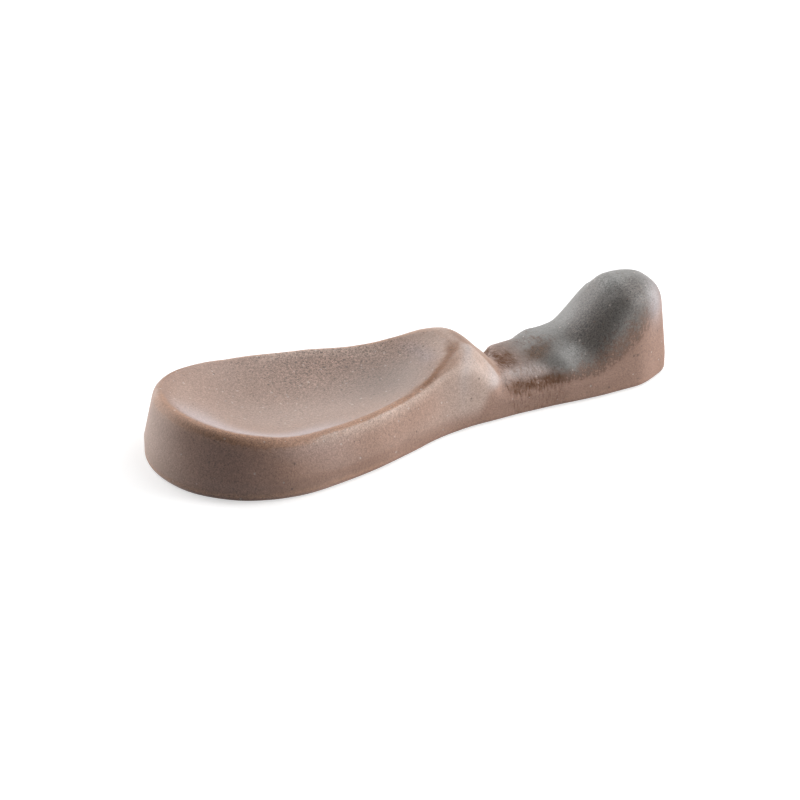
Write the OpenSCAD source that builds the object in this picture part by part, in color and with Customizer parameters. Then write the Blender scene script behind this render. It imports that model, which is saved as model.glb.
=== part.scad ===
// Spoon and chopstick rest in fired stoneware: a shallow oval dish for the spoon's bowl,
// a low neck that chopsticks lie across, and a raised knob that stops them.
// X runs from the dish to the knob, Y across, Z up; the origin is on the table under the middle.

/* [Lengths] */
// Length of the dish, from its round front to the foot of its back rim
dish_length = 52; // [46:1:60]
// Length of the neck between dish and knob
neck_length = 18; // [15:1:24]
// Length of the knob
knob_length = 18; // [16:1:24]

/* [Dish] */
// Width of the dish, the widest part of the rest
dish_width = 34; // [30:1:40]
// Length of the round front, up to the widest place
nose_length = 17; // [15:0.5:20]
// Height of the rim at the dish's sides
rim_height = 10.15; // [9.6:0.05:11]
// Extra height of the rim at the very front
front_lift = 1.1; // [0:0.1:1.6]
// Extra height of the rim at the back of the dish
back_lift = 0.95; // [0.4:0.05:1.4]
// Depth of the hollow below the rim
hollow_depth = 4.8; // [4.6:0.1:5.4]
// Rim left between the hollow and the front
front_rim = 3.1; // [2.8:0.1:5]
// Rim left between the hollow and each side
side_rim = 0.2; // [0:0.1:1.5]
// Rim left between the hollow and the start of the neck
back_rim = 3.6; // [2.6:0.1:4.6]
// Softness of the crest where the hollow meets the rim
crest_blend = 1.6; // [1:0.1:2.4]
// Radius of the rim's outer edge at the dish's sides; the front's is larger
rim_round = 1.5; // [1.2:0.1:2.2]

/* [Neck] */
// Width of the neck
neck_width = 15.6; // [14:0.2:18]
// Height of the shoulder that falls from the back of the dish to the neck
shoulder_height = 12.6; // [12:0.1:14]
// Height of the saddle, the lowest place of the neck
saddle_height = 7; // [6:0.1:7.6]
// Height of the low hump where the neck runs into the knob
hump_height = 9.4; // [8.8:0.1:10.4]
// Radius of the neck's upper edges
neck_round = 3.9; // [3:0.1:4.4]

/* [Knob] */
// Width of the knob
knob_width = 16.2; // [15:0.2:19]
// Height of the knob, the tallest part of the rest
knob_height = 17; // [16:0.5:19]
// Radius of the knob's upper edge at its end
knob_round = 4.3; // [3.5:0.1:5]
// Length over which the outline of the knob's end is rounded
heel_length = 11; // [9:0.5:13]

/* [Wall] */
// Height at which the outer wall bulges furthest
bulge_height = 3; // [2.4:0.1:3.6]
// How far the wall leans in from the bulge to the rim at the front
front_lean = 2; // [1.4:0.05:2.6]
// How far the wall leans in at the knob's end
back_lean = 1.3; // [0.8:0.05:1.6]
// Radius of the edge round the foot
foot_round = 0.85; // [0.7:0.05:1]

/* [Glaze] */
// Thickness of the brown glaze, which stops halfway round the foot's edge
brown_glaze_thickness = 0.35; // [0.25:0.05:0.45]
// Thickness of the grey glaze that is laid over it on the neck and knob
grey_glaze_thickness = 0.25; // [0.15:0.05:0.3]

/* [Hidden] */

rest_length = dish_length + neck_length + knob_length;
neck_start = dish_length;
knob_start = dish_length + neck_length;

// Facets: columns down each side, then rings up the foot, the wall, the edge and the top
side_columns = 52;
foot_rings = 2;
edge_rings = 5;
top_rings = 7;
hem_ring = foot_rings / 2;
wall_ring = foot_rings + 1;
edge_ring = wall_ring + 1;
top_ring = edge_ring + edge_rings;
spine_ring = top_ring + top_rings;
columns = 2 * side_columns;
// Share by which columns crowd less at the two ends than a plain cosine spacing gives
column_spread_share = 0.15;
// Angle and length over which slopes are measured
slope_angle = 0.5;
slope_step = 0.05;

// The spine is the line on the long axis that every profile runs in to
spine_front = 15;
spine_back = 9.5;
// Most of the way to the spine that an edge radius may take
edge_limit_share = 0.88;
// Steepness of the knob end's outline: 2 is an ellipse, more is squarer
heel_power = 3.9;
// Narrowing of the hollow towards its back, as a share of its width
hollow_taper_share = 0.06;
// Where the hollow is deepest
hollow_middle = 19;

// Places are shares of the dish's, neck's or knob's length
function in_dish(share) = dish_length * share;
function in_neck(share) = neck_start + neck_length * share;
function in_knob(share) = knob_start + knob_length * share;
// A width that is a share of the way from the neck's width to the dish's
function flank(share) = (neck_width + (dish_width - neck_width) * share) / 2;

// Half widths of the plan along the length, from the widest place back
width_stations = slopes([
    [nose_length, flank(1)],
    [in_dish(0.58), flank(0.75)],
    [in_dish(0.73), flank(0.44)],
    [in_dish(0.88), flank(0.14)],
    [in_neck(0.11), flank(0.03)],
    [in_neck(0.56), flank(0)],
    [in_knob(0.11), knob_width / 2],
    [in_knob(0.55), knob_width / 2 * 0.94],
    [in_knob(1), knob_width / 2 * 0.68]
]);

// Heights of the rim round the hollow
rim_stations = slopes([
    [0, rim_height + front_lift],
    [in_dish(0.38), rim_height],
    [in_dish(0.73), rim_height - back_lift * 0.1],
    [in_dish(1), rim_height + back_lift]
]);

// Heights along the middle, as if the hollow weren't there: shoulder, saddle, hump and knob
ridge_stations = slopes([
    [in_dish(0.85), shoulder_height * 1.16],
    [in_dish(0.98), shoulder_height],
    [in_neck(0.36), saddle_height],
    [in_neck(0.61), saddle_height],
    [in_neck(0.8), hump_height * 0.9],
    [in_neck(1), hump_height],
    [in_knob(0.5), knob_height],
    [in_knob(0.8), knob_height * 0.97],
    [in_knob(1.15), knob_height * 0.615]
]);

// Heights at the two sides, where the top runs out to the wall
side_stations = slopes([
    [in_dish(0.58), shoulder_height],
    [in_dish(0.81), shoulder_height * 0.88],
    [in_dish(0.96), shoulder_height * 0.87],
    [in_neck(0.28), saddle_height * 0.84],
    [in_neck(0.67), saddle_height],
    [in_neck(1), saddle_height * 0.91],
    [in_knob(0.33), knob_height * 0.41],
    [in_knob(0.67), knob_height * 0.75],
    [in_knob(1.15), knob_height * 0.59]
]);

// Radius of the upper outer edge
round_stations = slopes([
    [0, rim_round * 1.6],
    [in_dish(0.2), rim_round * 1.4],
    [in_dish(0.5), rim_round * 1.07],
    [in_dish(0.81), rim_round * 0.89],
    [in_neck(0.11), neck_round * 1.3],
    [in_neck(0.78), neck_round * 0.95],
    [in_knob(0.33), neck_round * 1.05],
    [in_knob(1), knob_round]
]);

// How far the wall leans in
lean_stations = slopes([
    [0, front_lean],
    [in_dish(0.58), front_lean * 0.7],
    [in_neck(0.44), back_lean * 0.8],
    [in_knob(1), back_lean]
]);

// A smooth curve through stations [place, value] that never overshoots them.
// The slope at a station is the weighted harmonic mean of the slopes on both sides,
// and 0 at a turning point and at the ends.
function rise(s, i) = (s[i + 1].y - s[i].y) / (s[i + 1].x - s[i].x);
function slope(s, i) =
    i == 0 || i == len(s) - 1 || rise(s, i - 1) * rise(s, i) <= 0 ? 0 :
    let (
        before = s[i].x - s[i - 1].x,
        after = s[i + 1].x - s[i].x,
        w1 = 2 * after + before,
        w2 = after + 2 * before
    )
    (w1 + w2) / (w1 / rise(s, i - 1) + w2 / rise(s, i));
function slopes(s) = [for (i = [0:len(s) - 1]) [s[i].x, s[i].y, slope(s, i)]];
function curve(s, x) =
    x <= s[0].x ? s[0].y :
    x >= s[len(s) - 1].x ? s[len(s) - 1].y :
    let (
        i = len([for (station = s) if (station.x <= x) 1]) - 1,
        gap = s[i + 1].x - s[i].x,
        t = (x - s[i].x) / gap
    )
    s[i].y * (2 * t ^ 3 - 3 * t ^ 2 + 1) + s[i][2] * gap * (t ^ 3 - 2 * t ^ 2 + t) +
    s[i + 1].y * (3 * t ^ 2 - 2 * t ^ 3) + s[i + 1][2] * gap * (t ^ 3 - t ^ 2);

// The lower of two heights, with the corner between them rounded over a blend
function soft_min(a, b, blend) =
    min(a, b) - max(blend - abs(a - b), 0) ^ 2 / (4 * blend);
function unit(v) = v / norm(v);
function mirrored(p) = [p.x, -p.y, p.z];

// Half width of the plan at a distance x from the front: round nose, flank and blunt heel
function half_width(x) =
    let (
        nose = min(x / nose_length, 1),
        heel = min((rest_length - x) / heel_length, 1)
    )
    curve(width_stations, x) * sqrt(1 - (1 - nose) ^ 2) *
    (1 - (1 - heel) ^ heel_power) ^ (1 / heel_power);

// Height of the top at x from the front and y off the middle: the hollow cut into the ridge
function top_height(x, y) =
    let (
        hollow_end = dish_length - back_rim,
        half_length = x < hollow_middle ? hollow_middle - front_rim : hollow_end - hollow_middle,
        along = (x - hollow_middle) / half_length,
        across = y / ((dish_width / 2 - side_rim) * (1 - hollow_taper_share * max(along, 0))),
        hollow = curve(rim_stations, x) - hollow_depth * (1 - along ^ 2 - across ^ 2),
        ridge = curve(ridge_stations, x),
        side = curve(side_stations, x),
        off = y / curve(width_stations, x)
    )
    soft_min(ridge - (ridge - side) * off ^ 2, hollow, crest_blend);

// A point of the plan's outline at an angle: 0 is the front, 180 the knob's end
function outline(angle) =
    let (x = rest_length / 2 * (1 - cos(angle)))
    [x, sign(angle) * sign(180 - angle) * half_width(x)];

// One profile up from the foot, over the edge and in to the spine, as a column of points
function column(angle) =
    let (
        base = outline(angle),
        along = outline(angle + slope_angle) - outline(angle - slope_angle),
        inward = unit([along.y, -along.x]),
        spine = [spine_front + (rest_length - spine_front - spine_back) * base.x / rest_length, 0],
        reach = (spine - base) * inward,
        run = (spine - base) / reach,
        lean = curve(lean_stations, base.x),
        edge = min(lean + curve(round_stations, base.x), reach * edge_limit_share),
        round = edge - lean,
        rim = base + run * edge,
        rim_z = top_height(rim.x, rim.y),
        past = rim + run * slope_step,
        pitch = (top_height(past.x, past.y) - rim_z) / slope_step,
        corner = [lean, max(rim_z - pitch * round, bulge_height + round / 2)],
        bulge = [0, bulge_height],
        face = corner - bulge,
        start = corner - face * min(round / norm(face), edge_limit_share),
        profile = [
            for (i = [0:foot_rings])
                let (turn = 90 * i / foot_rings)
                foot_round * [1 - sin(turn), 1 - cos(turn)],
            bulge,
            for (i = [0:edge_rings])
                let (s = i / edge_rings)
                (1 - s) ^ 2 * start + 2 * s * (1 - s) * corner + s ^ 2 * [edge, rim_z]
        ]
    )
    [
        for (p = profile) [each (base + run * p.x), p.y],
        for (i = [1:top_rings])
            let (p = base + run * (edge + (reach - edge) * i / top_rings))
            [each p, top_height(p.x, p.y)]
    ];

function column_angle(c) =
    let (angle = 180 * c / side_columns)
    angle + column_spread_share * 180 / PI * sin(2 * angle);

// The finished surface: columns of points round the whole plan, from the front tip back to it
side = [for (c = [0:side_columns]) column(column_angle(c))];
skin = [
    for (c = [0:columns - 1])
        [for (r = [0:spine_ring]) c <= side_columns ? side[c][r] : mirrored(side[columns - c][r])]
];

// Outward normal of the skin; the foot's rings face straight out, so their height stays
function wrap(c) = (c + columns) % columns;
function normal(c, r) =
    r == spine_ring ?
        let (x = skin[c][r].x)
        unit([top_height(x - slope_step, 0) - top_height(x + slope_step, 0), 0, 2 * slope_step]) :
    let (
        round_plan = skin[wrap(c + 1)][r] - skin[wrap(c - 1)][r],
        up = r <= foot_rings ? [0, 0, 1] : skin[c][r + 1] - skin[c][r - 1]
    )
    unit(cross(up, round_plan));

// How much of its full thickness the grey glaze has: 0 at its border, 1 well inside it
grey_start = in_neck(0.5);
grey_ring = edge_ring;
fade_columns = 4;
fade_rings = 4;
grey_column = len([for (points = side) if (points[spine_ring].x < grey_start) 1]);
function grey_share(c, r) =
    max(0, min(1, (min(c, columns - c) - grey_column) / fade_columns)) *
    max(0, min(1, (r - grey_ring) / fade_rings));

// The surface under the grey glaze, and the fired clay's own under the brown one
brown_face = [
    for (c = [0:columns - 1])
        [for (r = [0:spine_ring]) skin[c][r] - normal(c, r) * grey_glaze_thickness * grey_share(c, r)]
];
clay_face = [
    for (c = [0:columns - 1])
        [for (r = [0:spine_ring]) brown_face[c][r] - normal(c, r) * brown_glaze_thickness]
];

// Points of a face, ring by ring; those on the spine are shared by the two sides
function ring_points(face) = [
    for (r = [0:spine_ring - 1]) each [for (c = [0:columns - 1]) face[c][r]],
    for (c = [0:side_columns]) face[c][spine_ring]
];
points_in_face = spine_ring * columns + side_columns + 1;
function point(c, r) =
    r < spine_ring ? r * columns + wrap(c) : r * columns + min(wrap(c), columns - wrap(c));
// Two triangles for each patch between neighbouring rings and columns, mirrored on the two sides.
// Their shared edge leans away from the plan's ends, so no edge on the spine serves both sides.
function patch(c, r) =
    let (a = point(c, r), b = point(c + 1, r), d = point(c, r + 1), e = point(c + 1, r + 1))
    floor(2 * c / side_columns) % 2 == 0 ? [[a, b, d], [b, e, d]] : [[a, b, e], [a, e, d]];
function patches(first_ring, first_column) = [
    for (r = [first_ring:spine_ring - 1], c = [first_column:columns - first_column - 1])
        each patch(c, r)
];
function flipped(faces) = [for (f = faces) [f[2], f[1], f[0]]];
function moved(faces, count) = [for (f = faces) [for (i = f) i + count]];

module placed() translate([-rest_length / 2, 0, 0]) children();

// The fired clay, with its flat dry foot
module clay_body() color("#9c785f") placed()
    polyhedron(
        ring_points(clay_face),
        concat(patches(0, 0), [[for (c = [columns - 1:-1:0]) point(c, 0)]])
    );

// The brown coat, from its hem on the foot's edge up and over everything
module brown_glaze() color("#93796a") placed()
    let (
        outside = patches(hem_ring, 0),
        hem = [for (c = [0:columns - 1])
            let (a = point(c, hem_ring), b = point(c + 1, hem_ring))
            each [[b, a, a + points_in_face], [b, a + points_in_face, b + points_in_face]]]
    )
    polyhedron(
        concat(ring_points(brown_face), ring_points(clay_face)),
        concat(outside, moved(flipped(outside), points_in_face), hem)
    );

// The grey coat over the neck and knob, fading out to nothing at its border
module grey_glaze() color("#6f7268") placed()
    let (
        outside = patches(grey_ring, grey_column),
        border = [
            for (c = [grey_column:columns - grey_column]) point(c, grey_ring),
            for (r = [grey_ring:spine_ring])
                each [point(grey_column, r), point(columns - grey_column, r)]
        ],
        inside = [for (f = flipped(outside))
            [for (i = f) len(search(i, border)) > 0 ? i : i + points_in_face]]
    )
    polyhedron(concat(ring_points(skin), ring_points(brown_face)), concat(outside, inside));

clay_body();
brown_glaze();
grey_glaze();
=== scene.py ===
import math

import bpy
import numpy as np
from mathutils import Matrix, Vector


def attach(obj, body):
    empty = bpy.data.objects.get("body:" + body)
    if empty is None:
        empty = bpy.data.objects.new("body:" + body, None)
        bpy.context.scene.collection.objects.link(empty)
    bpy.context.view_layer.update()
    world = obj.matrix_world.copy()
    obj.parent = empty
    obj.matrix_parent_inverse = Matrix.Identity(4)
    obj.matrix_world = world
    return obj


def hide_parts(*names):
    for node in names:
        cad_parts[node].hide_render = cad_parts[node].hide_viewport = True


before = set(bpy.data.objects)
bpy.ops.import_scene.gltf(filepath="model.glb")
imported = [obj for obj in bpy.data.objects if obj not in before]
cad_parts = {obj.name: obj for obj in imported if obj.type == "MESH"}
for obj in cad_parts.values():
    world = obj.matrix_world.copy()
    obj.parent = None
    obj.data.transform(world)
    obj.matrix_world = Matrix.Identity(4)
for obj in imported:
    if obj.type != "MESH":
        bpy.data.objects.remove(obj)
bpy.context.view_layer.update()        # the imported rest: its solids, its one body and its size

scene = bpy.context.scene

# Sizes of the rest in metres, powers and shares without a unit, and the slope's angle in radians.
# Places along the rest are counted from the dish's round front.
rest = {
    "dishLength": 0.052, "neckLength": 0.018, "knobLength": 0.018,
    "dishWidth": 0.034, "noseLength": 0.017,
    "rimHeight": 0.01015, "frontLift": 0.0011, "backLift": 0.00095,
    "hollowDepth": 0.0048, "hollowMiddle": 0.019, "hollowTaper": 0.06,
    "frontRim": 0.0031, "sideRim": 0.0002, "backRim": 0.0036,
    "crestBlend": 0.0016, "rimRound": 0.0015,
    "neckWidth": 0.0156, "shoulderHeight": 0.0126, "saddleHeight": 0.007,
    "humpHeight": 0.0094, "neckRound": 0.0039,
    "knobWidth": 0.0162, "knobHeight": 0.017, "knobRound": 0.0043, "nearPower": 3.0, "farPower": 2.0,
    "heelLength": 0.011, "heelPower": 3.9,
    "bulgeHeight": 0.003, "frontLean": 0.002, "backLean": 0.0013,
    "footRound": 0.00085, "spineFront": 0.015, "spineBack": 0.0095,
    "edgeLimit": 0.88, "columnSpread": 0.15, "slopeStep": 0.00005, "slopeAngle": 0.0087,
}
# How finely the surface is drawn: columns down each side, then rings up the profile
fineness = {"sideColumns": 190, "foot": 6, "lowWall": 5, "highWall": 9, "edge": 16, "top": 44,
            "underside": 8}
# Slow unevenness left by the hand: its depth, its wave lengths and the ways they run
handWaves = {"depth": 0.00006, "lengths": (0.021, 0.013, 0.0088), "turns": (0.4, 1.9, 3.3),
             "climbs": (0.7, 0.4)}
# The slanting crease where the shoulder meets the saddle, deeper on the far side
crease = {"place": 0.0575, "slant": 0.26, "before": 0.0009, "after": 0.0007,
          "nearDepth": 0.0003, "farDepth": 0.0012, "farFrom": -0.002, "farTo": 0.005,
          "lowEnd": 0.0034, "lowGrowth": 1.7}

restLength = rest["dishLength"] + rest["neckLength"] + rest["knobLength"]
halfDish = rest["dishWidth"] / 2
halfNeck = rest["neckWidth"] / 2
halfKnob = rest["knobWidth"] / 2


def inDish(share):
    return rest["dishLength"] * share


def inNeck(share):
    return rest["dishLength"] + rest["neckLength"] * share


def inKnob(share):
    return rest["dishLength"] + rest["neckLength"] + rest["knobLength"] * share


def flank(share):
    return halfNeck + (halfDish - halfNeck) * share


def smoothTable(stations):
    # Slope at a station: the weighted harmonic mean of the slopes on both sides of it,
    # and 0 at a turning point and at both ends, so that the curve never overshoots.
    place, value = np.array(stations, float).T
    gap = np.diff(place)
    rise = np.diff(value) / gap
    alike = rise[:-1] * rise[1:] > 0
    before, after = np.where(alike, rise[:-1], 1), np.where(alike, rise[1:], 1)
    beforeWeight, afterWeight = 2 * gap[1:] + gap[:-1], gap[1:] + 2 * gap[:-1]
    slope = np.zeros(len(place))
    slope[1:-1] = np.where(
        alike, (beforeWeight + afterWeight) / (beforeWeight / before + afterWeight / after), 0)
    return place, value, slope


def along(table, x):
    # Cubic between two stations: their values and slopes, weighted by the Hermite polynomials.
    place, value, slope = table
    x = np.clip(x, place[0], place[-1])
    i = np.clip(np.searchsorted(place, x, side="right") - 1, 0, len(place) - 2)
    gap = place[i + 1] - place[i]
    t = (x - place[i]) / gap
    return (value[i] * (2 * t**3 - 3 * t**2 + 1) + slope[i] * gap * (t**3 - 2 * t**2 + t)
            + value[i + 1] * (3 * t**2 - 2 * t**3) + slope[i + 1] * gap * (t**3 - t**2))


def smoothStep(low, high, value):
    # 0 below low, 1 above high, and three t squared less two t cubed between them.
    t = np.clip((value - low) / (high - low), 0, 1)
    return t * t * (3 - 2 * t)


# Half widths, heights, edge radii and leans along the length
widthTable = smoothTable([
    (rest["noseLength"], flank(1)), (inDish(0.58), flank(0.75)), (inDish(0.73), flank(0.44)),
    (inDish(0.88), flank(0.14)), (inNeck(0.11), flank(0.03)), (inNeck(0.56), flank(0)),
    (inKnob(0.11), halfKnob), (inKnob(0.55), halfKnob * 0.94), (inKnob(1), halfKnob * 0.68)])
rimTable = smoothTable([
    (0, rest["rimHeight"] + rest["frontLift"]), (inDish(0.38), rest["rimHeight"]),
    (inDish(0.73), rest["rimHeight"] - rest["backLift"] * 0.1),
    (inDish(1), rest["rimHeight"] + rest["backLift"])])
ridgeTable = smoothTable([
    (inDish(0.85), rest["shoulderHeight"] * 1.16), (inDish(0.98), rest["shoulderHeight"]),
    (inNeck(0.36), rest["saddleHeight"]), (inNeck(0.61), rest["saddleHeight"]),
    (inNeck(0.8), rest["humpHeight"] * 0.9), (inNeck(1), rest["humpHeight"]),
    (inKnob(0.5), rest["knobHeight"]), (inKnob(0.8), rest["knobHeight"] * 0.97),
    (inKnob(1.15), rest["knobHeight"] * 0.615)])
sideTable = smoothTable([
    (inDish(0.58), rest["shoulderHeight"]), (inDish(0.81), rest["shoulderHeight"] * 0.88),
    (inDish(0.96), rest["shoulderHeight"] * 0.87), (inNeck(0.28), rest["saddleHeight"] * 0.84),
    (inNeck(0.67), rest["saddleHeight"]), (inNeck(1), rest["saddleHeight"] * 0.91),
    (inKnob(0.33), rest["knobHeight"] * 0.41), (inKnob(0.67), rest["knobHeight"] * 0.75),
    (inKnob(1.15), rest["knobHeight"] * 0.59)])
roundTable = smoothTable([
    (0, rest["rimRound"] * 1.6), (inDish(0.2), rest["rimRound"] * 1.4),
    (inDish(0.5), rest["rimRound"] * 1.07), (inDish(0.81), rest["rimRound"] * 0.89),
    (inNeck(0.11), rest["neckRound"] * 1.3), (inNeck(0.78), rest["neckRound"] * 0.95),
    (inKnob(0.33), rest["neckRound"] * 1.05), (inKnob(1), rest["knobRound"])])
leanTable = smoothTable([
    (0, rest["frontLean"]), (inDish(0.58), rest["frontLean"] * 0.7),
    (inNeck(0.44), rest["backLean"] * 0.8), (inKnob(1), rest["backLean"])])


def halfWidth(x):
    # The flank's curve, times a quarter ellipse at the nose and a squarer quarter at the heel.
    nose = np.clip(x / rest["noseLength"], 0, 1)
    heel = np.clip((restLength - x) / rest["heelLength"], 0, 1)
    return (along(widthTable, x) * np.sqrt(1 - (1 - nose)**2)
            * (1 - (1 - heel)**rest["heelPower"])**(1 / rest["heelPower"]))


def hollowPlace(x, y):
    # Distance from the hollow's middle, along and across, as shares of its reach: 1 is its edge.
    front, back = rest["frontRim"], rest["dishLength"] - rest["backRim"]
    middle = rest["hollowMiddle"]
    down = (x - middle) / np.where(x < middle, middle - front, back - middle)
    across = y / ((halfDish - rest["sideRim"]) * (1 - rest["hollowTaper"] * np.maximum(down, 0)))
    return down, across


def hillAndBowl(x, y, knobPower=2.0):
    # Heights of a ridge that falls off with the square of y, or another power of it on the knob,
    # and of a bowl that rises with the squares of both distances from its middle.
    down, across = hollowPlace(x, y)
    ridge, side = along(ridgeTable, x), along(sideTable, x)
    power = 2 + (knobPower - 2) * smoothStep(inKnob(0), inKnob(0.39), x)
    hill = ridge - (ridge - side) * abs(y / along(widthTable, x))**power
    return hill, along(rimTable, x) - rest["hollowDepth"] * (1 - down**2 - across**2)


def topHeight(x, y, knobPower=2.0):
    # The lower of hill and bowl, with the corner between them rounded.
    hill, bowl = hillAndBowl(x, y, knobPower)
    blend = rest["crestBlend"]
    return np.minimum(hill, bowl) - np.maximum(blend - abs(hill - bowl), 0)**2 / (4 * blend)


def outline(angle):
    # Plan of the rest: x goes as the cosine of the angle, y is the half width there.
    x = restLength / 2 * (1 - np.cos(angle))
    return np.stack([x, np.sign(angle) * np.sign(np.pi - angle) * halfWidth(x)], -1)


def throughCorner(start, corner, end, share):
    # Quadratic curve that leaves its start and reaches its end along lines to the corner.
    return (1 - share)**2 * start + 2 * share * (1 - share) * corner + share**2 * end


def sideProfiles(knobPower):
    # One profile in each column, carried from the outline in to the spine: a quarter round at
    # the foot, a wall by way of the bulge, a quadratic curve over the edge, then the top.
    turn = np.linspace(0, np.pi, fineness["sideColumns"] + 1)
    angle = turn + rest["columnSpread"] * np.sin(2 * turn)
    base = outline(angle)
    run = outline(angle + rest["slopeAngle"]) - outline(angle - rest["slopeAngle"])
    inward = np.stack([run[:, 1], -run[:, 0]], -1) / np.linalg.norm(run, axis=1)[:, None]
    spine = np.zeros_like(base)
    spineLength = restLength - rest["spineFront"] - rest["spineBack"]
    spine[:, 0] = rest["spineFront"] + spineLength * base[:, 0] / restLength
    reach = ((spine - base) * inward).sum(1)
    step = (spine - base) / reach[:, None]
    lean = along(leanTable, base[:, 0])
    edge = np.minimum(lean + along(roundTable, base[:, 0]), reach * rest["edgeLimit"])
    brink = base + step * edge[:, None]
    rimZ = topHeight(brink[:, 0], brink[:, 1], knobPower)
    past = brink + step * rest["slopeStep"]
    pitch = (topHeight(past[:, 0], past[:, 1], knobPower) - rimZ) / rest["slopeStep"]
    cornerZ = np.maximum(rimZ - pitch * (edge - lean), rest["bulgeHeight"] + (edge - lean) / 2)
    rise = cornerZ - rest["bulgeHeight"]
    used = np.minimum((edge - lean) / np.hypot(lean, rise), rest["edgeLimit"])
    startIn, startZ = lean * (1 - used), cornerZ - rise * used

    footTurn = np.linspace(0, np.pi / 2, fineness["foot"] + 1)[:, None]
    lowShare = np.linspace(0, 1, fineness["lowWall"] + 1)[1:, None]
    highShare = np.linspace(0, 1, fineness["highWall"] + 1)[1:-1, None]
    curveShare = np.linspace(0, 1, fineness["edge"] + 1)[:, None]
    bulge, foot = rest["bulgeHeight"], rest["footRound"]
    depth = np.concatenate([
        foot * (1 - np.sin(footTurn)) + 0 * lean, 0 * lowShare + 0 * lean, highShare * startIn,
        throughCorner(startIn, lean, edge, curveShare)])
    height = np.concatenate([
        foot * (1 - np.cos(footTurn)) + 0 * lean, foot + (bulge - foot) * lowShare + 0 * lean,
        bulge + (startZ - bulge) * highShare, throughCorner(startZ, cornerZ, rimZ, curveShare)])
    plan = base + step * depth[:, :, None]
    wall = np.concatenate([plan, height[:, :, None]], 2)
    topShare = np.linspace(0, 1, fineness["top"] + 1)[1:, None]
    plan = base + step * (edge + (reach - edge) * topShare)[:, :, None]
    top = np.concatenate([plan, topHeight(plan[:, :, 0], plan[:, :, 1], knobPower)[:, :, None]], 2)
    return np.concatenate([wall, top])


def outwardNormals(grid):
    # Cross product of the steps to the neighbouring rings and columns; on the spine, the
    # normal of the top's own slope.
    around = np.roll(grid, -1, 1) - np.roll(grid, 1, 1)
    normal = np.cross(np.gradient(grid, axis=0), around)
    x, step = grid[-1, :, 0], rest["slopeStep"]
    slope = (topHeight(x + step, 0) - topHeight(x - step, 0)) / (2 * step)
    normal[-1] = np.stack([-slope, 0 * slope, 1 + 0 * slope], -1)
    return normal / np.linalg.norm(normal, axis=2)[:, :, None]


def handUneven(grid):
    # Sum of crossed sine waves, each of its own length and turned its own way.
    total = 0
    for length, turn in zip(handWaves["lengths"], handWaves["turns"]):
        first = grid @ np.array([math.cos(turn), math.sin(turn), handWaves["climbs"][0]])
        second = grid @ np.array([-math.sin(turn), math.cos(turn), handWaves["climbs"][1]])
        total = total + np.sin(2 * np.pi * first / length + turn) * np.cos(2 * np.pi * second / length)
    return handWaves["depth"] * total / len(handWaves["lengths"])


def creaseDepth(grid):
    # One bell across the crease, wider before it than after it, times its depth at this width.
    x, y, z = grid[:, :, 0], grid[:, :, 1], grid[:, :, 2]
    off = x - crease["place"] - crease["slant"] * y
    across = np.exp(-(off / np.where(off < 0, crease["before"], crease["after"]))**2)
    far = smoothStep(crease["farFrom"], crease["farTo"], y)
    depth = crease["nearDepth"] + (crease["farDepth"] - crease["nearDepth"]) * far
    return depth * across * smoothStep(crease["lowEnd"], crease["lowGrowth"] * crease["lowEnd"], z)


def stepsOf(grid):
    # Change from point to point, round the rest and up the rings.
    return (np.roll(grid, -1, 1) - np.roll(grid, 1, 1)) / 2, np.gradient(grid, axis=0)


def bending(grid, normal):
    # Mean curvature, positive on an edge and negative in a hollow: the normal's change for
    # each length walked, taken from the first and second forms of the surface.
    around, up = stepsOf(grid)
    aroundTurn, upTurn = stepsOf(normal)
    first = [(around * around).sum(2), (around * up).sum(2), (up * up).sum(2)]
    second = [(aroundTurn * around).sum(2), (aroundTurn * up + upTurn * around).sum(2) / 2,
              (upTurn * up).sum(2)]
    area = np.maximum(first[0] * first[2] - first[1]**2, 1e-20)
    return (second[0] * first[2] - 2 * second[1] * first[1] + second[2] * first[0]) / (2 * area)


# The far side, and the near one as a mirror image of its own, with the knob a little fuller
farSide = sideProfiles(rest["farPower"])
nearSide = sideProfiles(rest["nearPower"])
skin = np.concatenate([farSide, nearSide[:, -2:0:-1] * (1, -1, 1)], 1)
rings, columns = skin.shape[:2]
spineRing, hemRing = rings - 1, fineness["foot"] // 2
normal = outwardNormals(skin)
bend = bending(skin, normal)
calmFoot = smoothStep(rest["footRound"], 3 * rest["footRound"], skin[:, :, 2])
skin = skin + normal * (handUneven(skin) * calmFoot - creaseDepth(skin))[:, :, None]
skin[spineRing, :, 1] = 0
print("surface worked out:", rings, "rings by", columns, "columns")

# The two coats, in metres and rings, with two shares of the grey one's cover: it thickens from
# the first, and up to the second its border tucks just under the brown face.
coats = {
    "brown": 0.00035, "grey": 0.00025, "tuck": 0.00004, "sunk": 0.00006,
    "lip": 0.0001, "lipRings": 5, "hemRise": 0.00016,
    "greyFrom": inNeck(0.05), "greyFade": 0.004, "greyRing": hemRing + 7, "greyFadeRings": 12,
    "thickFrom": 0.1, "tuckTo": 0.25, "hemWaves": ((5, 0.7), (11, 2), (23, 4)),
}


def greyCover():
    # 1 well inside the grey coat and 0 at its border: a step down the length times one up the wall.
    spineX, ring = skin[spineRing, :, 0], np.arange(rings)
    lengthShare = smoothStep(coats["greyFrom"], coats["greyFrom"] + coats["greyFade"], spineX)
    ringShare = smoothStep(coats["greyRing"], coats["greyRing"] + coats["greyFadeRings"], ring)
    return ringShare[:, None] * lengthShare


def sunkenFace(depth):
    # The skin moved in along its normals; the spine stays in the middle and the foot keeps its heights.
    face = skin - normal * depth[:, :, None]
    face[spineRing, :, 1] = 0
    face[:hemRing + 1, :, 2] = skin[:hemRing + 1, :, 2]
    return face


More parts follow.
